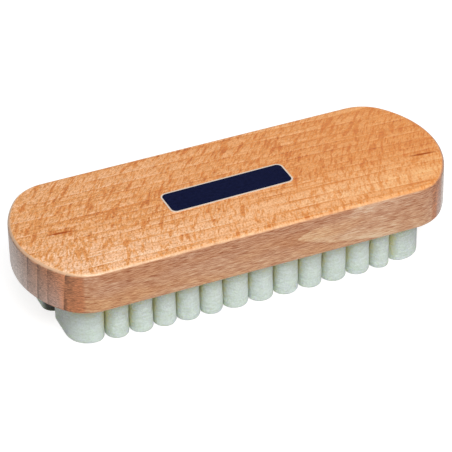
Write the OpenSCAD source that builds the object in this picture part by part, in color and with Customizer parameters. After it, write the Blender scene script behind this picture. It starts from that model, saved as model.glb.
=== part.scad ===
// Suede brush: a beech block with two rows of folded crepe rubber strip glued into its underside.
// Millimetres. The origin is at the centre of the footprint, on the plane that the crepe rests on.

/* [Beech block] */
// Length of the block, end to end
block_l = 130; // [120:1:180]
// Width of the block, side to side
block_w = 48.8; // [48:0.2:70]
// Thickness of the block
block_t = 13.4; // [10:0.2:25]
// Radius of the long arc across each end, seen from above
end_r = 31.2; // [28:0.2:60]
// Radius of the four corners, seen from above
corner_r = 13; // [8:0.5:20]
// Rounding of the top edge
top_round = 1.2; // [0.4:0.1:4]
// Rounding of the bottom edge
bottom_round = 1.1; // [0.2:0.1:2]

/* [Crepe strips] */
// Thickness of the crepe sheet
crepe_t = 3.3; // [2.6:0.1:3.5]
// Gap between one leg of a strip and the next
fold_gap = 0.37; // [0.3:0.01:0.6]
// Free height of the crepe below the block
crepe_h = 14.4; // [8:0.2:25]
// Number of narrow folds along each long side
fold_count = 12; // [4:1:12]
// Depth of each row, from its outer folds to its inner folds
row_d = 19.9; // [18:0.1:20.5]
// Gap between the two rows, along the centre of the brush
row_gap = 0.4; // [0.3:0.05:1]
// Outer radius of the wide fold at each corner
corner_fold_r = 7; // [5:0.5:9]
// Distance that the wide corner folds stand back from the narrow ones
corner_back = 1.6; // [0:0.1:3]
// Length of the straight tail tucked inside each corner fold
tail_l = 8; // [3:0.5:8.5]
// Place of the crepe's middle along the block
crepe_shift = -1.1; // [-3:0.1:3]

/* [Seat in the block] */
// Depth of the pocket routed into the underside
pocket_d = 4; // [2:0.5:7]
// Clearance between the pocket's wall and the crepe
pocket_fit = 0.3; // [0.2:0.05:0.8]
// Thickness of the glue bed on the pocket's floor
glue_t = 0.6; // [0.3:0.1:1.2]

/* [Label] */
// Length of the label, along the brush
label_l = 38.2; // [15:0.1:60]
// Width of the label, across the brush
label_w = 10.2; // [6:0.2:20]
// Thickness of the label film
label_t = 0.15; // [0.1:0.05:0.5]
// Corner radius of the label
label_r = 2; // [0.5:0.1:3]
// Place of the label's centre along the brush
label_x = -0.8; // [-5:0.1:5]
// Place of the label's centre across the brush
label_y = -0.6; // [-3:0.1:3]
// Turn of the label, in degrees, seen from above
label_turn = 1; // [-5:0.5:5]

/* [Hidden] */
$fn = 96;
// Extra depth of a cut past the face it opens
cut = 1;
// Straight steps that make up half an end arc, a corner arc and a rounded edge
end_steps = 10;
corner_steps = 10;
round_steps = 5;

// Centres of the end arcs and of the corner arcs that run into them
end_x = block_l / 2 - end_r;
corner_y = block_w / 2 - corner_r;
corner_x = end_x + sqrt(pow(end_r - corner_r, 2) - pow(corner_y, 2));
// Direction in which an end arc hands over to a corner arc
meet_angle = atan2(corner_y, corner_x - end_x);

// Distance between the middles of two neighbouring legs
pitch = crepe_t + fold_gap;
// Radii of a tight fold, whose two legs lie one gap apart
fold_ro = pitch / 2 + crepe_t / 2;
fold_ri = pitch / 2 - crepe_t / 2;
// Middles of the first and last legs that reach from fold to fold
outer_leg_x = (fold_count + 0.5) * pitch;
// Middle of the leg that makes the end wall, past the tail that is tucked in beside it
wall_leg_x = outer_leg_x + 2 * pitch;
// Half the length of the crepe, and half its width over both rows
crepe_x = wall_leg_x + crepe_t / 2;
crepe_y = row_gap / 2 + row_d;
// Lines across a row on which its outer and inner tight folds are centred
outer_line = -crepe_y + fold_ro;
inner_line = -row_gap / 2 - fold_ro;
// Front line of the wide corner folds
corner_front = -crepe_y + corner_back;

block_z = crepe_h;
pocket_z = block_z + pocket_d;
crepe_top_z = pocket_z - glue_t;
top_z = block_z + block_t;

module rounded_rect(l, w, r) {
    square([l - 2 * r, w], center = true);
    square([l, w - 2 * r], center = true);
    for (x = [-1, 1], y = [-1, 1])
        translate([x * (l / 2 - r), y * (w / 2 - r)])
            circle(r);
}

// Points of an arc about a centre, from one angle to another
function arc(centre, radius, from, to, steps) =
    [for (i = [0 : steps])
        let (angle = from + (to - from) * i / steps)
        centre + radius * [cos(angle), sin(angle)]];

// A quarter of the block's outline, drawn in by an inset: half an end arc, then a corner arc
function quarter_outline(inset) = concat(
    arc([end_x, 0], end_r - inset, 0, meet_angle, end_steps),
    arc([corner_x, corner_y], corner_r - inset, meet_angle, 90, corner_steps));

// A quarter of one layer of the block, from its middle plane up to a height
module quarter_layer(inset, height) {
    linear_extrude(height)
        polygon(concat([[0, 0]], quarter_outline(inset)));
}

// Half of the block above or below its middle plane, whose outer edge is rounded
module block_half(edge_round) {
    hull()
        for (i = [0 : round_steps], side_x = [0, 1], side_y = [0, 1])
            let (angle = 90 * i / round_steps)
            mirror([side_x, 0, 0])
                mirror([0, side_y, 0])
                    quarter_layer(edge_round * (1 - cos(angle)),
                                  block_t / 2 - edge_round * (1 - sin(angle)));
}

module beech_block() {
    color("burlywood")
        difference() {
            translate([0, 0, block_z + block_t / 2]) {
                block_half(top_round);
                mirror([0, 0, 1])
                    block_half(bottom_round);
            }
            translate([crepe_shift, 0, block_z - cut])
                linear_extrude(pocket_d + cut)
                    rounded_rect(2 * (crepe_x + pocket_fit), 2 * (crepe_y + pocket_fit),
                                 corner_fold_r + pocket_fit);
        }
}

module glue_bed() {
    color("khaki")
        translate([crepe_shift, 0, crepe_top_z])
            linear_extrude(glue_t)
                rounded_rect(2 * crepe_x, 2 * crepe_y, corner_fold_r);
}

// Half of a ring, open towards +Y
module half_turn(ro, ri) {
    difference() {
        circle(ro);
        circle(ri);
        translate([-ro, 0])
            square([2 * ro, ro]);
    }
}

// Quarter of a ring, in the quarter where X and Y are negative
module quarter_turn(ro, ri) {
    intersection() {
        difference() {
            circle(ro);
            circle(ri);
        }
        translate([-ro, -ro])
            square(ro);
    }
}

// One leg of the strip, between two lines across the brush
module leg(x, from_y, to_y) {
    translate([x - crepe_t / 2, from_y])
        square([crepe_t, to_y - from_y]);
}

// Left end of a row: outer leg, wide corner fold, end wall, inner fold and tucked-in tail
module row_end() {
    leg(-outer_leg_x, corner_front + fold_ro, inner_line);
    translate([-outer_leg_x - pitch / 2, corner_front + fold_ro])
        mirror([1, 0])
            quarter_turn(fold_ro, fold_ri);
    translate([-crepe_x + corner_fold_r, corner_front])
        square([crepe_x - corner_fold_r - outer_leg_x - pitch / 2, crepe_t]);
    translate([-crepe_x + corner_fold_r, corner_front + corner_fold_r])
        quarter_turn(corner_fold_r, corner_fold_r - crepe_t);
    leg(-wall_leg_x, corner_front + corner_fold_r, inner_line);
    translate([-wall_leg_x + pitch / 2, inner_line])
        mirror([0, 1])
            half_turn(fold_ro, fold_ri);
    leg(-wall_leg_x + pitch, inner_line - tail_l, inner_line);
}

// The strip seen from above: legs joined by outer folds along the side, inner folds along the middle
module crepe_outline() {
    for (i = [0 : fold_count - 1])
        translate([(2 * i + 1 - fold_count) * pitch, 0]) {
            leg(-pitch / 2, outer_line, inner_line);
            leg(pitch / 2, outer_line, inner_line);
            translate([0, outer_line])
                half_turn(fold_ro, fold_ri);
        }
    for (i = [0 : fold_count])
        translate([(2 * i - fold_count) * pitch, inner_line])
            mirror([0, 1])
                half_turn(fold_ro, fold_ri);
    for (end = [0, 1])
        mirror([end, 0])
            row_end();
}

module crepe_strip() {
    translate([crepe_shift, 0, 0])
        linear_extrude(crepe_top_z)
            crepe_outline();
}

module crepe_strip_front() {
    color("honeydew")
        crepe_strip();
}

module crepe_strip_back() {
    color("honeydew")
        mirror([0, 1, 0])
            crepe_strip();
}

module label() {
    color("midnightblue")
        translate([label_x, label_y, top_z])
            rotate([0, 0, label_turn])
                linear_extrude(label_t)
                    rounded_rect(label_l, label_w, label_r);
}

beech_block();
glue_bed();
crepe_strip_front();
crepe_strip_back();
label();
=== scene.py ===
import math

import bmesh
import bpy
from mathutils import Matrix, Vector


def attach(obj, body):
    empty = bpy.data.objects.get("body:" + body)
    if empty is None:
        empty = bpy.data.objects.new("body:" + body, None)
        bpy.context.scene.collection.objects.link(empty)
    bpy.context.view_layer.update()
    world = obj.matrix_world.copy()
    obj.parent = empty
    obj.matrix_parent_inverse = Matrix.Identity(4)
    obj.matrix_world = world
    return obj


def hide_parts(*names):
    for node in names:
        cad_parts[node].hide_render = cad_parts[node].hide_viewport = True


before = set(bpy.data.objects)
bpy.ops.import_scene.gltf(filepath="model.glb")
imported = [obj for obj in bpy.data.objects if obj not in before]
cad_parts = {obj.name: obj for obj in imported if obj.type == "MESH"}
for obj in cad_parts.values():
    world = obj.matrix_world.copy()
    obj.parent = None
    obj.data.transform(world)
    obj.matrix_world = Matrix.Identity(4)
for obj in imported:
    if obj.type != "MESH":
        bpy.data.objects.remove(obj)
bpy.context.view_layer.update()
MM = 0.001


# Camera: it looks at the brush from 23 degrees to the left of its front and 35 degrees above
# the floor, about 0.77 m away, through a long lens that is rolled by one degree. The point it
# is aimed by lies a little right of and above the middle of the picture.
camera_turn = math.radians(-22.844)
camera_rise = math.radians(34.737)
camera_roll = math.radians(-1.084)
camera_distance = 767.24 * MM
aim_right = 0.945 * MM
aim_up = 3.084 * MM
aim_point = Vector((0, 0, 17.8)) * MM
image_width_px = 452
focal_length_px = 2674.12
sensor_width = 36

back = Vector((math.sin(camera_turn) * math.cos(camera_rise),
               -math.cos(camera_turn) * math.cos(camera_rise),
               math.sin(camera_rise)))
level_right = Vector((math.cos(camera_turn), math.sin(camera_turn), 0))
level_up = back.cross(level_right)
right = math.cos(camera_roll) * level_right + math.sin(camera_roll) * level_up
up = math.cos(camera_roll) * level_up - math.sin(camera_roll) * level_right

bpy.ops.object.camera_add()
camera = bpy.context.object
camera.name = "photo_camera"
camera.data.sensor_width = sensor_width
camera.data.lens = sensor_width * focal_length_px / image_width_px
camera_place = aim_point - aim_right * right - aim_up * up + camera_distance * back
camera_axes = Matrix((right, up, back)).transposed().to_4x4()
camera.matrix_world = Matrix.Translation(camera_place) @ camera_axes
bpy.context.scene.camera = camera


# Beech block: one piece of steamed beech, sawn nearly on the quarter. Its outline and its
# rounded edges are cut with a router, as is the shallow pocket that seats the crepe, and it is
# sanded and sprayed with a satin lacquer.
block_half_length = 65 * MM
block_half_width = 24.4 * MM
block_bottom = 14.4 * MM
block_height = 13.4 * MM
block_top = block_bottom + block_height
end_radius = 31.2 * MM
corner_radius = 13 * MM
top_rounding = 1.2 * MM
bottom_rounding = 1.1 * MM
flat_rim = 0.4 * MM
pocket_centre = -1.6 * MM
pocket_half_length = 55.7 * MM
pocket_half_width = 20.4 * MM
pocket_radius = 7.3 * MM
pocket_depth = 4 * MM
pocket_rim = 0.25 * MM
beech_smoothing = math.radians(35)

end_centre = block_half_length - end_radius
corner_y = block_half_width - corner_radius
corner_x = end_centre + math.sqrt((end_radius - corner_radius) ** 2 - corner_y ** 2)
meet_angle = math.atan2(corner_y, corner_x - end_centre)
TINY = 0.01 * MM


def begin(name):
    """Names the new object, applies its place to its mesh and opens it for editing."""
    piece = bpy.context.object
    piece.name = piece.data.name = name
    bpy.ops.object.transform_apply(location=True, rotation=True, scale=True)
    bpy.ops.object.mode_set(mode="EDIT")
    return piece


def pick(kind, test):
    """Selects the vertices, edges or faces of the open mesh that pass a test."""
    mesh = bpy.context.edit_object.data
    bpy.ops.mesh.select_mode(type=kind)
    bpy.ops.mesh.select_all(action="DESELECT")
    cage = bmesh.from_edit_mesh(mesh)
    for item in {"VERT": cage.verts, "EDGE": cage.edges, "FACE": cage.faces}[kind]:
        if test(item):
            item.select_set(True)
    cage.select_flush_mode()
    bmesh.update_edit_mesh(mesh)


def lies_at(height):
    """A test for faces and edges whose every corner lies at one height."""
    return lambda item: all(abs(corner.co.z - height) < TINY for corner in item.verts)


def push(x=0, y=0, z=0):
    """Extrudes what is selected by a distance."""
    bpy.ops.mesh.extrude_region_move(TRANSFORM_OT_translate={"value": (x, y, z)})


def turn(x, y, angle, steps):
    """Spins what is selected about an upright line, clockwise seen from above."""
    bpy.ops.mesh.spin(steps=steps, angle=angle, center=(x, y, 0), axis=(0, 0, 1))


def finish_modifier(piece, kind, **settings):
    """Adds a modifier with its settings and applies it."""
    modifier = piece.modifiers.new(kind.title(), kind)
    for setting, value in settings.items():
        setattr(modifier, setting, value)
    bpy.context.view_layer.objects.active = piece
    bpy.ops.object.modifier_apply(modifier=modifier.name)


bpy.ops.object.select_all(action="DESELECT")
bpy.ops.mesh.primitive_plane_add(size=2 * MM, location=(corner_x, block_half_width, block_bottom))
block = begin("wooden_block")
bpy.ops.mesh.merge(type="CENTER")
turn(corner_x, corner_y, math.pi / 2 - meet_angle, steps=14)
turn(end_centre, 0, meet_angle, steps=18)
pick("VERT", lambda corner: abs(corner.co.y - block_half_width) < TINY)
push(x=-corner_x)
bpy.ops.object.mode_set(mode="OBJECT")
finish_modifier(block, "MIRROR", use_axis=(True, True, False), merge_threshold=TINY)

bpy.ops.object.mode_set(mode="EDIT")
bpy.ops.mesh.select_all(action="SELECT")
bpy.ops.mesh.edge_face_add()
push(z=block_height)
for height, rounding in ((block_top, top_rounding), (block_bottom, bottom_rounding)):
    pick("EDGE", lies_at(height))
    bpy.ops.mesh.bevel(offset=rounding, segments=7, profile=0.5, affect="EDGES")
    pick("FACE", lies_at(height))
    bpy.ops.mesh.inset(thickness=flat_rim)
bpy.ops.mesh.select_all(action="SELECT")
bpy.ops.mesh.normals_make_consistent(inside=False)
bpy.ops.object.mode_set(mode="OBJECT")

bpy.ops.object.select_all(action="DESELECT")
bpy.ops.mesh.primitive_cube_add(size=2, location=(pocket_centre, 0, block_bottom),
                                scale=(pocket_half_length, pocket_half_width, pocket_depth))
router_cut = begin("router_cut")
pick("EDGE", lambda edge: abs(edge.verts[0].co.z - edge.verts[1].co.z) > pocket_depth)
bpy.ops.mesh.bevel(offset=pocket_radius, segments=12, profile=0.5, affect="EDGES")
bpy.ops.object.mode_set(mode="OBJECT")
finish_modifier(block, "BOOLEAN", operation="DIFFERENCE", object=router_cut, solver="EXACT")
bpy.data.objects.remove(router_cut)


def on_pocket_rim(edge):
    """Edges where the pocket opens in the flat underside."""
    return lies_at(block_bottom)(edge) and any(
        abs(face.normal.z) < 0.5 for face in edge.link_faces)


bpy.ops.object.select_all(action="DESELECT")
block.select_set(True)
bpy.context.view_layer.objects.active = block
bpy.ops.object.mode_set(mode="EDIT")
pick("EDGE", on_pocket_rim)
bpy.ops.mesh.bevel(offset=pocket_rim, segments=2, profile=0.5, affect="EDGES")
bpy.ops.object.mode_set(mode="OBJECT")
bpy.ops.object.shade_smooth_by_angle(angle=beech_smoothing)


def hex_colour(text):
    """Turns an sRGB hex value into the linear colour that a shader takes."""
    levels = [int(text[i:i + 2], 16) / 255 for i in (1, 3, 5)]
    return [level / 12.92 if level <= 0.04045 else ((level + 0.055) / 1.055) ** 2.4
            for level in levels] + [1]


def add_node(tree, kind, inputs=None, stops=(), **settings):
    """Adds a node with its settings, and gives its sockets their links, values or ramp stops.

    A number names a socket by its place: of a map range, 1 and 2 are the ends that come in, and
    3 and 4 the ends that go out. Stops at 0 and 1 come first, and the others follow.
    """
    node = tree.nodes.new(kind)
    for setting, value in settings.items():
        setattr(node, setting, value)
    for position, shade in stops:
        ramp = node.color_ramp.elements
        stop = ramp[-position] if position in (0, 1) else ramp.new(position)
        stop.color = hex_colour(shade) if isinstance(shade, str) else (shade, shade, shade, 1)
    for name, value in (inputs or {}).items():
        socket = node.inputs[name] if isinstance(name, int) else next(
            each for each in node.inputs if each.name == name and each.enabled)
        if isinstance(value, bpy.types.Node):
            value = next(each for each in value.outputs if each.enabled)
        if isinstance(value, bpy.types.NodeSocket):
            tree.links.new(value, socket)
        else:
            socket.default_value = value
    return node


def start_material(name):
    """Makes a node material, empties its tree and gives both."""
    material = bpy.data.materials.new(name)
    material.use_nodes = True
    material.node_tree.nodes.clear()
    return material, material.node_tree


def place_in_millimetres(tree):
    """Gives the place on the object in millimetres, and which way the surface faces.

    The Scale of a pattern is then one over the real size of its marks: 0.2 makes them 5 mm long.
    """
    place = add_node(tree, "ShaderNodeTexCoord")
    millimetres = add_node(tree, "ShaderNodeVectorMath",
                           {0: place.outputs["Object"], "Scale": 1 / MM}, operation="SCALE")
    return millimetres, place.outputs["Normal"]


# Lacquered beech. The growth rings run along the block and stand upright in it, so the top shows
# the rays as short slanted flecks across the grain, the sides show them end on as fine dark
# dashes, and the ends show the rings as upright lines. The rings' places are in millimetres
# across the block, and a noise that averages one half makes them waver over some 25 mm.
ring_places = (-23.6, -18.8, -15.1, -10.7, -8.0, -4.8, -2.2, 1.4, 5.0, 8.6, 12.6, 17.0, 21.5)
ring_span = 32
ring_waver = 1.2
beech, tree = start_material("lacquered_beech")
millimetres, facing = place_in_millimetres(tree)
axes = add_node(tree, "ShaderNodeSeparateXYZ", {0: millimetres})
x, y, z = axes.outputs
face = add_node(tree, "ShaderNodeSeparateXYZ", {0: facing})
upward = add_node(tree, "ShaderNodeMath", {0: face.outputs["Z"]}, operation="ABSOLUTE")
endward = add_node(tree, "ShaderNodeMath", {0: face.outputs["X"]}, operation="ABSOLUTE")
on_top = add_node(tree, "ShaderNodeMapRange", {0: upward, 1: 0.4, 2: 0.75},
                  interpolation_type="SMOOTHSTEP")
on_end = add_node(tree, "ShaderNodeMapRange", {0: endward, 1: 0.36, 2: 0.46},
                  interpolation_type="SMOOTHSTEP")

# Distance across the rings: they lean three degrees from the block's length. Towards the right
# they bulge forwards at mid height, which gives the pale curved patch on the front.
waver = add_node(tree, "ShaderNodeTexNoise", {
    "Vector": add_node(tree, "ShaderNodeMapping", {"Vector": millimetres,
                                                   "Scale": (0.04, 0.16, 0.1)}),
    "Scale": 1, "Detail": 3})
level = add_node(tree, "ShaderNodeMath", {0: z, 1: 21.2}, operation="SUBTRACT")
squared = add_node(tree, "ShaderNodeMath", {0: level, 1: level}, operation="MULTIPLY")
bulge = add_node(tree, "ShaderNodeMapRange", {0: x, 1: -50, 2: 5, 3: 0, 4: -0.043})
tilt = add_node(tree, "ShaderNodeMapRange", {0: x, 1: -50, 2: 5, 3: 0.065, 4: 0.036})
slope = add_node(tree, "ShaderNodeMapRange", {0: y, 1: -19, 2: -12, 3: 0.068, 4: 0.052})
lean = add_node(tree, "ShaderNodeMath", {0: x, 1: slope, 2: y}, operation="MULTIPLY_ADD")
bent = add_node(tree, "ShaderNodeMath", {0: squared, 1: bulge, 2: lean},
                operation="MULTIPLY_ADD")
tilted = add_node(tree, "ShaderNodeMath", {0: level, 1: tilt, 2: bent}, operation="MULTIPLY_ADD")
across = add_node(tree, "ShaderNodeMath", {0: waver, 1: ring_waver, 2: tilted},
                  operation="MULTIPLY_ADD")
along_curve = add_node(tree, "ShaderNodeMapRange", {0: across, 1: -ring_span + ring_waver / 2,
                                                    2: ring_span + ring_waver / 2})
ring_count = add_node(tree, "ShaderNodeFloatCurve", {"Value": along_curve})
curve = ring_count.mapping.curves[0]
ring_total = len(ring_places) + 1
for number, place in enumerate(ring_places):
    point = curve.points.new((place + ring_span) / (2 * ring_span), (number + 1) / ring_total)
    point.handle_type = "VECTOR"
ring_count.mapping.update()
ring_number = add_node(tree, "ShaderNodeMath", {0: ring_count, 1: ring_total},
                       operation="MULTIPLY")
ring_phase = add_node(tree, "ShaderNodeMath", {0: ring_number}, operation="FRACT")
pale_side = add_node(tree, "ShaderNodeValToRGB", {"Fac": ring_phase}, stops=(
    (0, 1.0), (1, 0.0), (0.06, 0.95), (0.2, 0.45), (0.5, 0.0)))
dark_side = add_node(tree, "ShaderNodeValToRGB", {"Fac": ring_phase}, stops=(
    (0, 0.0), (1, 1.0), (0.55, 0.0), (0.86, 0.3), (0.95, 0.8)))
ring_life = add_node(tree, "ShaderNodeTexNoise", {
    "Vector": add_node(tree, "ShaderNodeMapping", {"Vector": millimetres,
                                                   "Scale": (0.06, 0.5, 0.1)}),
    "Scale": 1, "Detail": 2})
ring_strength = add_node(tree, "ShaderNodeMapRange", {0: ring_life, 1: 0.38, 2: 0.6, 3: 0.2,
                                                      4: 1})
ring_sides = add_node(tree, "ShaderNodeCombineXYZ", {0: pale_side, 1: dark_side})
middle_fades = add_node(tree, "ShaderNodeMapRange", {0: endward, 1: 0.965, 2: 0.985, 3: 1,
                                                    4: 0.25})
right_fades = add_node(tree, "ShaderNodeMapRange", {0: x, 1: 20, 2: 45, 3: 1, 4: 0.15})
front_fades = add_node(tree, "ShaderNodeMapRange", {0: y, 1: -16, 2: -10, 3: 0.15, 4: 1})
corner_fades = add_node(tree, "ShaderNodeMath", {0: right_fades, 1: front_fades},
                        operation="MAXIMUM")
fading = add_node(tree, "ShaderNodeMath", {0: middle_fades, 1: corner_fades},
                  operation="MINIMUM")
end_depth = add_node(tree, "ShaderNodeVectorMath", {0: (0.45, -0.9, 0), "Scale": fading},
                     operation="SCALE")
side_depth = add_node(tree, "ShaderNodeMix", {"Factor": on_end, "A": (0.34, -0.08, 0),
                                              "B": end_depth}, data_type="VECTOR")
ring_depth = add_node(tree, "ShaderNodeMix", {"Factor": on_top, "A": side_depth,
                                              "B": (0.12, -0.24, 0)}, data_type="VECTOR")
ring_marks = add_node(tree, "ShaderNodeVectorMath", {0: ring_sides, 1: ring_depth},
                      operation="DOT_PRODUCT")
rings = add_node(tree, "ShaderNodeMath", {0: ring_marks.outputs["Value"], 1: ring_strength},
                 operation="MULTIPLY")

# Flecks on the top: rays cut at a slant, more upright towards the front of the block. Wide ragged
# ones, 1.3 mm by 5 mm, lie among many short ones, 0.7 mm by 2.4 mm, over a speckle of half a
# millimetre that fades to the right and a few dark pore lines along the grain. The speckle and
# the lines are drawn coarser than real pores, which are too fine to see.
swerve = add_node(tree, "ShaderNodeMath", {0: y, 1: -0.0071, 2: -0.555},
                  operation="MULTIPLY_ADD")
slanted = add_node(tree, "ShaderNodeMath", {0: y, 1: swerve, 2: x}, operation="MULTIPLY_ADD")
slanted_place = add_node(tree, "ShaderNodeCombineXYZ", {0: slanted, 1: y, 2: z})
ragged = add_node(tree, "ShaderNodeTexNoise", {"Vector": millimetres, "Scale": 0.7, "Detail": 3})
rough_place = add_node(tree, "ShaderNodeVectorMath", {
    0: ragged.outputs["Color"], 1: (1.1, 1.1, 1.1), 2: slanted_place}, operation="MULTIPLY_ADD")
rays = add_node(tree, "ShaderNodeTexNoise", {
    "Vector": add_node(tree, "ShaderNodeMapping", {"Vector": rough_place,
                                                   "Scale": (0.75, 0.2, 0.2)}),
    "Scale": 1, "Detail": 2, "Roughness": 0.45})
fleck_depth = add_node(tree, "ShaderNodeMapRange", {0: x, 1: 10, 2: 60, 3: 0.36, 4: 0.22})
wide_flecks = add_node(tree, "ShaderNodeMapRange", {0: rays, 1: 0.55, 2: 0.66, 3: 0,
                                                    4: fleck_depth})
short_rays = add_node(tree, "ShaderNodeTexNoise", {
    "Vector": add_node(tree, "ShaderNodeMapping", {"Vector": slanted_place,
                                                   "Scale": (1.5, 0.42, 0.42)}),
    "Scale": 1, "Detail": 1, "Roughness": 0.5})
short_flecks = add_node(tree, "ShaderNodeMapRange", {0: short_rays, 1: 0.52, 2: 0.68, 3: 0,
                                                     4: 0.24})
flecks = add_node(tree, "ShaderNodeMath", {0: wide_flecks, 1: short_flecks}, operation="MAXIMUM")
speckle = add_node(tree, "ShaderNodeTexNoise", {
    "Vector": add_node(tree, "ShaderNodeMapping", {"Vector": slanted_place,
                                                   "Scale": (1.9, 1.4, 1)}),
    "Scale": 1, "Detail": 2, "Roughness": 0.7})
centred = add_node(tree, "ShaderNodeMath", {0: speckle, 1: 0.5}, operation="SUBTRACT")
fainter = add_node(tree, "ShaderNodeMapRange", {0: x, 1: -50, 2: 50, 3: 0.72, 4: 0.3})
speckles = add_node(tree, "ShaderNodeMath", {0: centred, 1: fainter}, operation="MULTIPLY")
speckled = add_node(tree, "ShaderNodeMath", {0: speckles, 1: 0.8}, operation="MULTIPLY")
sparkle = add_node(tree, "ShaderNodeMath", {0: speckles, 1: 2, 2: 1.02},
                   operation="MULTIPLY_ADD")
glints = add_node(tree, "ShaderNodeMath", {0: sparkle, 1: 1.13}, operation="MINIMUM")
pore_lines = add_node(tree, "ShaderNodeTexNoise", {
    "Vector": add_node(tree, "ShaderNodeMapping", {"Vector": millimetres,
                                                   "Rotation": (0, 0, math.radians(3)),
                                                   "Scale": (0.03, 1.4, 0.3)}),
    "Scale": 1, "Detail": 2})
lined = add_node(tree, "ShaderNodeMapRange", {0: pore_lines, 1: 0.55, 2: 0.7, 3: 0, 4: 0.22})

# Dashes on the sides: the same rays end on, 3.7 mm long and 0.3 mm thick, sloping a little down
# to the right. The pores between them are drawn 0.2 mm thick, coarser than real ones, to show.
ray_ends = add_node(tree, "ShaderNodeTexNoise", {
    "Vector": add_node(tree, "ShaderNodeMapping", {"Vector": millimetres,
                                                   "Rotation": (0, math.radians(4), 0),
                                                   "Scale": (0.27, 0.45, 3.4)}),
    "Scale": 1, "Detail": 2, "Roughness": 0.5})
dashes = add_node(tree, "ShaderNodeMapRange", {0: ray_ends, 1: 0.54, 2: 0.72, 3: 0, 4: 0.38})
pores = add_node(tree, "ShaderNodeTexNoise", {
    "Vector": add_node(tree, "ShaderNodeMapping", {"Vector": millimetres,
                                                   "Rotation": (0, math.radians(4), 0),
                                                   "Scale": (0.36, 1.3, 5.5)}),
    "Scale": 1, "Detail": 3, "Roughness": 0.7})
pored = add_node(tree, "ShaderNodeMapRange", {0: pores, 1: 0.25, 2: 0.75, 3: -0.55, 4: 0.55})

# Tone: 0.5 is plain wood, lower is darker. Zones across the rings make the front of the top paler,
# most of all in a golden patch at the front right. The sides and ends carry painted shade, darker
# towards the top and paler towards the foot, where the floor's light falls.
zones = add_node(tree, "ShaderNodeValToRGB", {"Fac": along_curve}, stops=(
    (0, 0.7), (0.12, 0.76), (0.17, 0.74), (0.24, 0.76), (0.31, 0.67), (0.41, 0.6),
    (0.5, 0.58), (1, 0.65)))
right_part = add_node(tree, "ShaderNodeMapRange", {0: x, 1: 8, 2: 30, 3: 0, 4: 0.07},
                      interpolation_type="SMOOTHSTEP")
front_rings = add_node(tree, "ShaderNodeMapRange", {0: across, 1: -4.6, 2: -6.4})
off_edge = add_node(tree, "ShaderNodeMapRange", {0: y, 1: -22, 2: -17, 3: -0.5, 4: 1})
front_part = add_node(tree, "ShaderNodeMath", {0: front_rings, 1: off_edge}, operation="MULTIPLY")
golden = add_node(tree, "ShaderNodeMath", {0: right_part, 1: front_part}, operation="MULTIPLY")
paler_zones = add_node(tree, "ShaderNodeMath", {0: zones, 1: golden}, operation="ADD")
lit_zones = add_node(tree, "ShaderNodeMath", {0: paler_zones, 1: speckled}, operation="ADD")
fleck_marks = add_node(tree, "ShaderNodeMath", {0: flecks, 1: lined}, operation="MAXIMUM")
top_tone = add_node(tree, "ShaderNodeMath", {0: lit_zones, 1: fleck_marks},
                    operation="SUBTRACT")
# Painted shade on the sides and ends, dark at the top and pale at the foot.
side_painted_shade = add_node(tree, "ShaderNodeMapRange", {0: z, 1: block_bottom / MM,
                                                   2: block_top / MM, 3: 0.72, 4: 0.44})
pored_side = add_node(tree, "ShaderNodeMath", {0: side_painted_shade, 1: pored}, operation="ADD")
side_tone = add_node(tree, "ShaderNodeMath", {0: pored_side, 1: dashes}, operation="SUBTRACT")
pattern = add_node(tree, "ShaderNodeMix", {"Factor": on_top, "A": side_tone, "B": top_tone})
tone = add_node(tree, "ShaderNodeMath", {0: rings, 1: pattern}, operation="ADD")
top_grain = add_node(tree, "ShaderNodeValToRGB", {"Fac": tone}, stops=(
    (0, "#A85512"), (0.25, "#CF7826"), (0.5, "#E19A53"), (0.75, "#F4C096"), (1, "#FFE4C8")))
top_bright = add_node(tree, "ShaderNodeVectorMath", {0: top_grain, "Scale": glints},
                      operation="SCALE")
side_grain = add_node(tree, "ShaderNodeValToRGB", {"Fac": tone}, stops=(
    (0, "#86441C"), (0.25, "#A96A42"), (0.5, "#BD8969"), (0.75, "#D4A684"), (1, "#E6CCB0")))
sawn_grain = add_node(tree, "ShaderNodeMix", {"Factor": on_top, "A": side_grain,
                                              "B": top_bright}, data_type="RGBA")

# Colour: the top yellows towards the right end, and the sides in patches and along the foot.
warm_end = add_node(tree, "ShaderNodeMapRange", {0: x, 1: -60, 2: 60})
drift = add_node(tree, "ShaderNodeTexNoise", {
    "Vector": add_node(tree, "ShaderNodeMapping", {"Vector": millimetres,
                                                   "Scale": (0.04, 0.04, 0.15)}),
    "Scale": 1, "Detail": 1})
warm_patch = add_node(tree, "ShaderNodeMapRange", {0: drift, 1: 0.45, 2: 0.62, 3: 0, 4: 0.35})
warm_foot = add_node(tree, "ShaderNodeMapRange", {0: z, 1: 26, 2: 17, 3: 0, 4: 0.3})
warm_side = add_node(tree, "ShaderNodeMath", {0: warm_patch, 1: warm_foot}, operation="ADD")
warmth = add_node(tree, "ShaderNodeMix", {"Factor": on_top, "A": warm_side, "B": warm_end})
warm_glaze = add_node(tree, "ShaderNodeValToRGB", {"Fac": warmth}, stops=(
    (0, "#FFFFFF"), (1, "#FFE6B2")))
sawn_faces = add_node(tree, "ShaderNodeMix", {"Factor": 1, "A": sawn_grain, "B": warm_glaze},
                      data_type="RGBA", blend_type="MULTIPLY")
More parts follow.
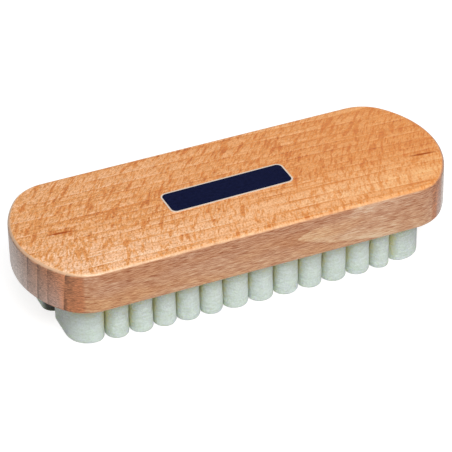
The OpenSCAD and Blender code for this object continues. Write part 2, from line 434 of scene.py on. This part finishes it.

# The end grain is darker the more squarely the ends face outwards. Its grey, its pale grey middle
# and its paler, greyer foot are a painted reflection of the white floor and studio in the lacquer,
# and the right end turns grey sooner, a painted reflection too.
right_reflection_shift = add_node(tree, "ShaderNodeMapRange", {0: x, 1: 0, 2: 50, 3: 0, 4: 0.22})
end_turn = add_node(tree, "ShaderNodeMath", {0: endward, 1: right_reflection_shift}, operation="ADD")
end_grain_and_reflection = add_node(tree, "ShaderNodeValToRGB", {"Fac": end_turn}, stops=(
    (0, "#C07C54"), (1, "#C8AC9C"), (0.5, "#C07C54"), (0.7, "#BE7C54"), (0.845, "#B87C5A"),
    (0.875, "#B27958"), (0.93, "#AE7E62"), (0.965, "#B48A74"), (0.985, "#BE9C8A")))
end_foot_reflection = add_node(tree, "ShaderNodeValToRGB", {"Fac": end_turn}, stops=(
    (0, "#B8744A"), (1, "#D4CAC4"), (0.76, "#B8744A"), (0.82, "#B8A69E"), (0.965, "#B8A69E"),
    (0.985, "#CCC0BA")))
# Painted reflection: towards the foot the ends are mixed to pale grey.
foot_reflection_share = add_node(tree, "ShaderNodeMapRange", {0: z, 1: 26, 2: 16, 3: 0, 4: 0.55})
end_colour_and_reflection = add_node(tree, "ShaderNodeMix", {"Factor": foot_reflection_share, "A": end_grain_and_reflection, "B": end_foot_reflection},
                     data_type="RGBA")
end_tone = add_node(tree, "ShaderNodeMapRange", {0: tone, 3: 0.4, 4: 1.5})
pore_light = add_node(tree, "ShaderNodeMapRange", {0: pores, 1: 0.25, 2: 0.75, 3: 0.8,
                                                   4: 1.2})
end_light = add_node(tree, "ShaderNodeMath", {0: end_tone, 1: pore_light},
                     operation="MULTIPLY")
end_grain = add_node(tree, "ShaderNodeVectorMath", {0: end_colour_and_reflection, "Scale": end_light},
                     operation="SCALE")
faces = add_node(tree, "ShaderNodeMix", {"Factor": on_end, "A": sawn_faces, "B": end_grain},
                 data_type="RGBA")

# Two short brown cracks lie along the grain of the top. The lacquer has sunk into them, so they
# don't shine. The rounded edge has a painted highlight, pale cream, strongest at the left.
crack_slant = math.radians(-6)
crack_half_width = 0.55
crack_depth = 4
streaks = []
for crack_x, crack_y, length in ((-51.7, -1.8, 4.4), (57.6, -8.1, 4.7)):
    reach = add_node(tree, "ShaderNodeVectorMath", {0: add_node(tree, "ShaderNodeMapping", {
        "Vector": millimetres, "Location": (crack_x, crack_y, block_top / MM),
        "Rotation": (0, 0, crack_slant),
        "Scale": (length, crack_half_width, crack_depth)}, vector_type="TEXTURE")},
        operation="LENGTH")
    streaks.append(add_node(tree, "ShaderNodeMapRange", {0: reach.outputs["Value"], 1: 1.15,
                                                         2: 0.45, 3: 0, 4: 0.92}))
streaked = add_node(tree, "ShaderNodeMath", {0: streaks[0], 1: streaks[1]}, operation="MAXIMUM")
stained = add_node(tree, "ShaderNodeMix", {"Factor": streaked, "A": faces,
                                           "B": hex_colour("#A84A18")}, data_type="RGBA")
# Painted highlight along the rounded top edge.
rolled_over = add_node(tree, "ShaderNodeMapRange", {0: face.outputs["Z"], 1: 0.97, 2: 0.88})
above_side = add_node(tree, "ShaderNodeMapRange", {0: face.outputs["Z"], 1: 0.3, 2: 0.6})
on_rim = add_node(tree, "ShaderNodeMath", {0: rolled_over, 1: above_side}, operation="MULTIPLY")
highlight_left_share = add_node(tree, "ShaderNodeMapRange", {0: warm_end, 3: 0.6, 4: 0.1})
painted_rim_highlight = add_node(tree, "ShaderNodeMath", {0: on_rim, 1: highlight_left_share}, operation="MULTIPLY")
wood = add_node(tree, "ShaderNodeMix", {"Factor": painted_rim_highlight, "A": stained,
                                        "B": hex_colour("#EACBA8")}, data_type="RGBA")
lacquer = add_node(tree, "ShaderNodeMapRange", {0: on_end, 3: 0.7, 4: 0.45})
sheen = add_node(tree, "ShaderNodeMapRange", {0: streaked, 3: lacquer, 4: 0})
bump = add_node(tree, "ShaderNodeBump", {"Height": tone, "Strength": 0.5,
                                        "Distance": 0.12 * MM})
surface = add_node(tree, "ShaderNodeBsdfPrincipled", {
    "Base Color": wood, "Roughness": 0.6, "Specular IOR Level": 0.05, "Coat Weight": sheen,
    "Coat Roughness": 0.22, "Normal": bump})
add_node(tree, "ShaderNodeOutputMaterial", {"Surface": surface})
block.data.materials.clear()
block.data.materials.append(beech)
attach(block, "root")
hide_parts("beech_block")


# Crepe strips: bands of natural crepe rubber sheet, 3.5 mm thick, set on edge and folded to and
# fro so that their cut edges make the brushing face. Each runs along one side of the brush, with
# a wide fold round each corner, and is glued into the pocket by its upper edge.
sheet = 3.48 * MM
fold_gap = 0.19 * MM
glue_thickness = 0.6 * MM
crepe_top = block_bottom + pocket_depth - glue_thickness
crepe_shift = -1.1 * MM
row_inner = -0.1 * MM
row_outer = -20.1 * MM
corner_fold_radius = 7 * MM
corner_front = -18.5 * MM
tail_length = 8 * MM
lower_rounding = 0.6 * MM
pitch = sheet + fold_gap
tight_turn = pitch / 2 + sheet / 2
inner_line = row_inner - tight_turn
outer_line = row_outer + tight_turn
row_end = 12 * pitch
outer_leg = row_end + pitch / 2
wall_leg = outer_leg + 2 * pitch
wall_face = wall_leg + pitch / 2
sheet_cuts = 21
crepe_smoothing = math.radians(50)


def start_sheet(name, x):
    """Sets up the sheet's cut end, upright across the brush, at the crest of an inner fold."""
    bpy.ops.object.select_all(action="DESELECT")
    bpy.ops.mesh.primitive_plane_add(size=1, location=(x, inner_line + pitch / 2, crepe_top / 2),
                                     rotation=(0, math.pi / 2, 0))
    bpy.context.object.scale = (crepe_top, sheet, 1)
    piece = begin(name)
    pick("VERT", lambda corner: corner.co.z < TINY)
    bpy.ops.mesh.bevel(offset=lower_rounding, segments=4, affect="VERTICES")
    bpy.ops.mesh.select_all(action="SELECT")
    bpy.ops.mesh.delete(type="ONLY_FACE")
    pick("EDGE", lambda edge: abs(edge.verts[0].co.z - edge.verts[1].co.z) > sheet)
    bpy.ops.mesh.subdivide(number_cuts=sheet_cuts)
    bpy.ops.mesh.select_all(action="SELECT")
    return piece


def run(x=0, y=0, steps=1):
    """Lays a straight length of sheet in equal steps."""
    for _ in range(steps):
        push(x=x / steps, y=y / steps)


fold = start_sheet("fold", -pitch)
turn(-pitch, inner_line, math.pi / 2, steps=8)
run(y=outer_line - inner_line, steps=12)
turn(0, outer_line, -math.pi, steps=18)
run(y=inner_line - outer_line, steps=12)
turn(pitch, inner_line, math.pi / 2, steps=8)
bpy.ops.object.mode_set(mode="OBJECT")

wide_end = start_sheet("wide_end", -row_end)
turn(-row_end, inner_line, -math.pi / 2, steps=8)
run(y=corner_front + tight_turn - inner_line, steps=12)
turn(-outer_leg - pitch / 2, corner_front + tight_turn, math.pi / 2, steps=9)
run(x=outer_leg + pitch / 2 - wall_face + corner_fold_radius, steps=3)
turn(-wall_leg - sheet / 2 + corner_fold_radius, corner_front + corner_fold_radius,
     math.pi / 2, steps=14)
run(y=inner_line - corner_front - corner_fold_radius, steps=8)
turn(-wall_leg + pitch / 2, inner_line, math.pi, steps=14)
run(y=-tail_length, steps=8)
bpy.ops.mesh.edge_face_add()
bpy.ops.object.mode_set(mode="OBJECT")

# Where the clefts between the folds lie along the brush, and how far each narrow fold stands back
# from the row, in millimetres from left to right. The folds were laid by hand and vary a little.
front_clefts = (-45.14, -38.0, -30.8, -23.9, -16.7, -9.7, -1.8, 6.0, 13.8, 21.3, 29.0, 36.5, 42.94)
back_clefts = (-45.14, -37.6, -30.5, -22.9, -15.9, -8.3, -1.0, 6.6, 13.4, 21.0, 28.2, 35.9, 42.94)
nose_setback = (0.75, 0.4, 0.3, 0.1, 0.1, 0.0, 0.0, 0.0, 0.05, 0.1, 0.2, 0.45)


def lay_copy(piece, x, stretch, setback=0):
    """Puts a copy of a folded length along the row, stretched or mirrored to its place."""
    twin = piece.copy()
    twin.data = piece.data.copy()
    bpy.context.collection.objects.link(twin)
    twin.location.x = x
    twin.scale.x = stretch
    bpy.ops.object.select_all(action="DESELECT")
    twin.select_set(True)
    bpy.context.view_layer.objects.active = twin
    begin("row_part")
    if setback:
        pick("VERT", lambda corner: corner.co.y < outer_line + TINY)
        bpy.ops.transform.translate(value=(0, setback, 0))
    bpy.ops.object.mode_set(mode="OBJECT")
    return twin


def lay_strip(name, side, clefts, left_bulge):
    """Joins twelve narrow folds and two wide ends into one strip along one side.

    The left end is made longer or shorter by left_bulge, and the walls get the rubber's waves.
    """
    wide_length = wall_leg + sheet / 2 - row_end
    stretch = 1 + left_bulge / wide_length
    parts = [lay_copy(wide_end, crepe_shift + (stretch - 1) * row_end, stretch),
             lay_copy(wide_end, crepe_shift, -1)]
    for start, stop, setback in zip(clefts, clefts[1:], nose_setback):
        parts.append(lay_copy(fold, (start + stop) / 2 * MM, (stop - start) * MM / (2 * pitch),
                              setback * MM))
    bpy.ops.object.select_all(action="DESELECT")
    for part in parts:
        part.select_set(True)
    bpy.context.view_layer.objects.active = parts[0]
    bpy.ops.object.join()
    strip = bpy.context.object
    strip.scale.y = side
    begin(name)
    bpy.ops.mesh.select_all(action="SELECT")
    bpy.ops.mesh.remove_doubles(threshold=2 * TINY)
    bpy.ops.mesh.normals_make_consistent(inside=False)
    bpy.ops.object.mode_set(mode="OBJECT")
    walls = strip.vertex_groups.new(name="walls")
    walls.add([corner.index for corner in strip.data.vertices
               if corner.co.z > lower_rounding], 1, "REPLACE")
    for spacing, depth in ((7 * MM, 0.3 * MM), (1.6 * MM, 0.14 * MM)):
        waves = bpy.data.textures.new("crepe_waves", "CLOUDS")
        waves.noise_scale = spacing
        waves.noise_depth = 1
        finish_modifier(strip, "DISPLACE", texture=waves, texture_coords="LOCAL",
                        strength=depth, mid_level=0.5, vertex_group="walls")
        bpy.data.textures.remove(waves)
    bpy.ops.object.select_all(action="DESELECT")
    strip.select_set(True)
    bpy.ops.object.shade_smooth_by_angle(angle=crepe_smoothing)
    return strip


crepe_front = lay_strip("crepe_row_front", 1, front_clefts, -0.7 * MM)
crepe_back = lay_strip("crepe_row_back", -1, back_clefts, 0.9 * MM)
for part in (fold, wide_end):
    bpy.data.objects.remove(part)

# Natural crepe: milky, greenish white rubber that lets a little light through. Deep in the clefts
# and under the block it carries a painted shade, tinted yellow, and where it enters the pocket a
# brown line that is part glue and part painted light bounced from the wood. The cleft between the
# rows is a dark painted shadow. Its grain is half a millimetre, crossed by level wrinkles that are
# 3 mm long and 0.8 mm apart.
crepe_rubber, tree = start_material("natural_crepe_rubber")
millimetres, _ = place_in_millimetres(tree)
axes = add_node(tree, "ShaderNodeSeparateXYZ", {0: millimetres})
x, y, z = axes.outputs
grain = add_node(tree, "ShaderNodeTexNoise", {"Vector": millimetres, "Scale": 1.9, "Detail": 3,
                                              "Roughness": 0.65})
wrinkles = add_node(tree, "ShaderNodeTexNoise", {
    "Vector": add_node(tree, "ShaderNodeMapping", {"Vector": millimetres,
                                                   "Scale": (0.3, 0.3, 1.3)}),
    "Scale": 1, "Detail": 3, "Roughness": 0.6})
relief = add_node(tree, "ShaderNodeMath", {0: wrinkles, 1: 0.8, 2: grain},
                  operation="MULTIPLY_ADD")
sideways = add_node(tree, "ShaderNodeMath", {0: y}, operation="ABSOLUTE")
# Painted shade: a darker, yellower tint deep in the clefts between the folds, strongest high up.
depth = add_node(tree, "ShaderNodeMapRange", {0: sideways, 1: 19.2, 2: 16.8})
from_middle = add_node(tree, "ShaderNodeMath", {0: x, 1: crepe_shift / MM},
                       operation="SUBTRACT")
lengthways = add_node(tree, "ShaderNodeMath", {0: from_middle}, operation="ABSOLUTE")
in_row = add_node(tree, "ShaderNodeMapRange", {0: lengthways, 1: 46.5, 2: 45.5})
cleft = add_node(tree, "ShaderNodeMath", {0: depth, 1: in_row}, operation="MULTIPLY")
height = add_node(tree, "ShaderNodeMapRange", {0: z, 1: 1, 2: 13, 3: 0.2, 4: 0.9})
painted_cleft_shade = add_node(tree, "ShaderNodeMath", {0: cleft, 1: height}, operation="MULTIPLY")
# Painted shade under the block, strongest on the wide end folds.
under_block_shade = add_node(tree, "ShaderNodeMapRange", {0: z, 1: 7.5, 2: block_bottom / MM, 3: 0,
                                               4: 0.8}, interpolation_type="SMOOTHSTEP")
less_in_row = add_node(tree, "ShaderNodeMapRange", {0: in_row, 3: 1, 4: 0.55})
painted_shade_under_block = add_node(tree, "ShaderNodeMath", {0: under_block_shade, 1: less_in_row}, operation="MULTIPLY")
painted_cavity_shade = add_node(tree, "ShaderNodeMath", {0: painted_cleft_shade, 1: painted_shade_under_block}, operation="MAXIMUM")
cloudy = add_node(tree, "ShaderNodeMath", {0: relief, 1: 0.9, 2: -0.67}, operation="MULTIPLY_ADD")
shade = add_node(tree, "ShaderNodeMath", {0: painted_cavity_shade, 1: cloudy}, operation="ADD")
# The ramp's yellower stops carry the painted shade of the clefts and under the block.
milk = add_node(tree, "ShaderNodeValToRGB", {"Fac": shade}, stops=(
    (0, "#E4F0EC"), (1, "#E4DD9E"), (0.3, "#D3DFD6"), (0.6, "#DEE0B8")))
# A brown line just under the block: part glue, part painted light bounced from the wood.
glue_and_bounce_line = add_node(tree, "ShaderNodeMapRange", {0: z, 1: 13, 2: 14.6, 3: 0, 4: 0.6})
glue_and_bounce_edge = add_node(tree, "ShaderNodeMix", {"Factor": glue_and_bounce_line, "A": milk,
                                              "B": hex_colour("#A88A58")}, data_type="RGBA")
# Painted shadow: the cleft between the rows at each end is painted near black.
at_end = add_node(tree, "ShaderNodeMapRange", {0: lengthways, 1: 47, 2: 49})
between_rows_shadow = add_node(tree, "ShaderNodeMapRange", {0: sideways, 1: 3.4, 2: 1.6, 3: 0, 4: 0.85})
painted_end_cleft_shadow = add_node(tree, "ShaderNodeMath", {0: at_end, 1: between_rows_shadow}, operation="MULTIPLY")
rubber = add_node(tree, "ShaderNodeMix", {"Factor": painted_end_cleft_shadow, "A": glue_and_bounce_edge,
                                          "B": hex_colour("#332E1C")}, data_type="RGBA")
bump = add_node(tree, "ShaderNodeBump", {"Height": relief, "Strength": 1,
                                        "Distance": 0.5 * MM})
surface = add_node(tree, "ShaderNodeBsdfPrincipled", {
    "Base Color": rubber, "Roughness": 0.7, "Specular IOR Level": 0.25, "Normal": bump,
    "Subsurface Weight": 1, "Subsurface Radius": (1.6, 1.7, 1.3), "Subsurface Scale": 1.8 * MM})
add_node(tree, "ShaderNodeOutputMaterial", {"Surface": surface})
for strip, node_name in ((crepe_front, "crepe_strip_front"), (crepe_back, "crepe_strip_back")):
    strip.data.materials.clear()
    strip.data.materials.append(crepe_rubber)
    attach(strip, "root")
    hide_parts(node_name)


# Glue bed: the film of contact glue that was brushed over the pocket's floor before both strips
# were pressed in. It is the CAD's own solid, and shows only between the folds, from below.

# Contact glue, brushed on and set: amber streaks 8 mm long and 2 mm wide, glossier where they
# are dark.
contact_glue, tree = start_material("contact_glue")
millimetres, _ = place_in_millimetres(tree)
streaky = add_node(tree, "ShaderNodeTexNoise", {
    "Vector": add_node(tree, "ShaderNodeMapping", {"Vector": millimetres,
                                                   "Scale": (0.12, 0.5, 0.3)}),
    "Scale": 1, "Detail": 3})
amber = add_node(tree, "ShaderNodeValToRGB", {"Fac": streaky}, stops=(
    (0, "#6E4F22"), (1, "#CDB077"), (0.5, "#A4803F")))
gloss = add_node(tree, "ShaderNodeMapRange", {0: streaky, 1: 0.3, 2: 0.7, 3: 0.25, 4: 0.5})
bump = add_node(tree, "ShaderNodeBump", {"Height": streaky, "Strength": 0.6,
                                        "Distance": 0.2 * MM})
surface = add_node(tree, "ShaderNodeBsdfPrincipled", {
    "Base Color": amber, "Roughness": gloss, "Normal": bump})
add_node(tree, "ShaderNodeOutputMaterial", {"Surface": surface})
for glue_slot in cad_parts["glue_bed"].material_slots:
    glue_slot.material = contact_glue


# Label: a panel of thin film with rounded corners, printed navy blue inside a pale border and
# stuck on the lacquer a touch off square.
label_half_length = 19.1 * MM
label_half_width = 5.1 * MM
label_thickness = 0.15 * MM
label_radius = 2 * MM
label_border = 0.45 * MM
label_place = (-0.8 * MM, -0.6 * MM, block_top + label_thickness / 2)
label_turn = math.radians(1)
bpy.ops.object.select_all(action="DESELECT")
bpy.ops.mesh.primitive_cube_add(size=2, location=label_place, rotation=(0, 0, label_turn),
                                scale=(label_half_length, label_half_width, label_thickness / 2))
label = begin("label_panel")
pick("EDGE", lambda edge: abs(edge.verts[0].co.z - edge.verts[1].co.z) > label_thickness / 2)
bpy.ops.mesh.bevel(offset=label_radius, segments=10, profile=0.5, affect="EDGES")
pick("FACE", lambda face: face.normal.z > 0.5)
bpy.ops.mesh.inset(thickness=label_border)
bpy.ops.object.mode_set(mode="OBJECT")


def print_on_film(name, thin_ink, thick_ink):
    """Satin ink that lies uneven in patches 1.4 mm by 0.7 mm, over the wood's faint grain."""
    ink, tree = start_material(name)
    millimetres, _ = place_in_millimetres(tree)
    mottle = add_node(tree, "ShaderNodeTexNoise", {
        "Vector": add_node(tree, "ShaderNodeMapping", {"Vector": millimetres,
                                                       "Scale": (0.7, 1.4, 1)}),
        "Scale": 1, "Detail": 3, "Roughness": 0.6})
    shade = add_node(tree, "ShaderNodeValToRGB", {"Fac": mottle}, stops=(
        (0, thin_ink), (1, thick_ink)))
    satin = add_node(tree, "ShaderNodeMapRange", {0: mottle, 1: 0.3, 2: 0.7, 3: 0.42, 4: 0.58})
    bump = add_node(tree, "ShaderNodeBump", {"Height": mottle, "Strength": 0.4,
                                            "Distance": 0.03 * MM})
    surface = add_node(tree, "ShaderNodeBsdfPrincipled", {
        "Base Color": shade, "Roughness": satin, "Specular IOR Level": 0.03, "Normal": bump})
    add_node(tree, "ShaderNodeOutputMaterial", {"Surface": surface})
    return ink


# The navy is nearly black, with the blue showing where the ink is thin. The border is warm white.
navy = print_on_film("navy_print", "#0A1440", "#000212")
cream = print_on_film("cream_print", "#D2BCA6", "#F4E6D8")
label.data.materials.append(cream)
label.data.materials.append(navy)
# Inside the border lies the only face of the top with more than four corners.
for panel in label.data.polygons:
    if panel.normal.z > 0.5 and len(panel.vertices) > 4:
        panel.material_index = 1
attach(label, "root")
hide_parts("label")


# Floor: a wide sheet of white paper under the brush, which takes its shadow. To the camera it
# glows just enough to be white. From below it is clear, and it lights the crepe's cut edges that
# stand on it, so that they can be seen.
floor_size = 6
paper_glow = 0.76
contact_distance = 0.05 * MM


def seen_by_camera(tree):
    """Gives a light path, and 1 for what is seen straight, in a reflection or through glass."""
    ray = add_node(tree, "ShaderNodeLightPath").outputs
    mirrored = add_node(tree, "ShaderNodeMath", {
        0: ray["Is Glossy Ray"], 1: ray["Is Transmission Ray"]}, operation="MAXIMUM")
    seen = add_node(tree, "ShaderNodeMath", {0: ray["Is Camera Ray"], 1: mirrored},
                    operation="MAXIMUM")
    return ray, seen


bpy.ops.object.select_all(action="DESELECT")
bpy.ops.mesh.primitive_plane_add(size=floor_size, location=(0, 0, 0))
floor = bpy.context.object
floor.name = "floor"
paper, tree = start_material("white_paper")
matte = add_node(tree, "ShaderNodeBsdfDiffuse", {"Color": hex_colour("#B8B8B8")})
glow = add_node(tree, "ShaderNodeEmission", {"Strength": paper_glow})
ray, seen = seen_by_camera(tree)
touching = add_node(tree, "ShaderNodeMath", {0: ray["Ray Length"], 1: contact_distance},
                    operation="LESS_THAN")
glowing = add_node(tree, "ShaderNodeMath", {0: seen, 1: touching}, operation="MAXIMUM")
bright = add_node(tree, "ShaderNodeAddShader", {0: matte, 1: glow})
lit = add_node(tree, "ShaderNodeMixShader", {0: glowing, 1: matte, 2: bright})
underside = add_node(tree, "ShaderNodeNewGeometry").outputs["Backfacing"]
from_below = add_node(tree, "ShaderNodeMath", {0: underside, 1: ray["Is Camera Ray"]},
                      operation="MULTIPLY")
clear = add_node(tree, "ShaderNodeBsdfTransparent")
sheet_of_paper = add_node(tree, "ShaderNodeMixShader", {0: from_below, 1: lit, 2: clear})
add_node(tree, "ShaderNodeOutputMaterial", {"Surface": sheet_of_paper})
floor.data.materials.append(paper)


# Light: even white light from all round, with one large softbox above and in front. It lights
# the top and the front alike and leaves the left end in soft shade. The studio looks white.
sky_light = 0.36
softbox_place = (-0.06, -0.72, 0.82)
softbox_size = 0.65
softbox_power = 10

world = bpy.data.worlds.new("studio")
bpy.context.scene.world = world
world.use_nodes = True
tree = world.node_tree
tree.nodes.clear()
_, seen = seen_by_camera(tree)
strength = add_node(tree, "ShaderNodeMapRange", {0: seen, 3: sky_light, 4: 1})
sky = add_node(tree, "ShaderNodeBackground", {"Color": hex_colour("#FFFFFF"), "Strength": strength})
add_node(tree, "ShaderNodeOutputWorld", {"Surface": sky})

bpy.ops.object.light_add(type="AREA", location=softbox_place)
lamp = bpy.context.object
lamp.name = "front_softbox"
lamp.rotation_euler = lamp.location.to_track_quat("Z", "Y").to_euler()
lamp.data.shape = "SQUARE"
lamp.data.size = softbox_size
lamp.data.energy = softbox_power

bpy.context.scene.view_settings.view_transform = "Standard"
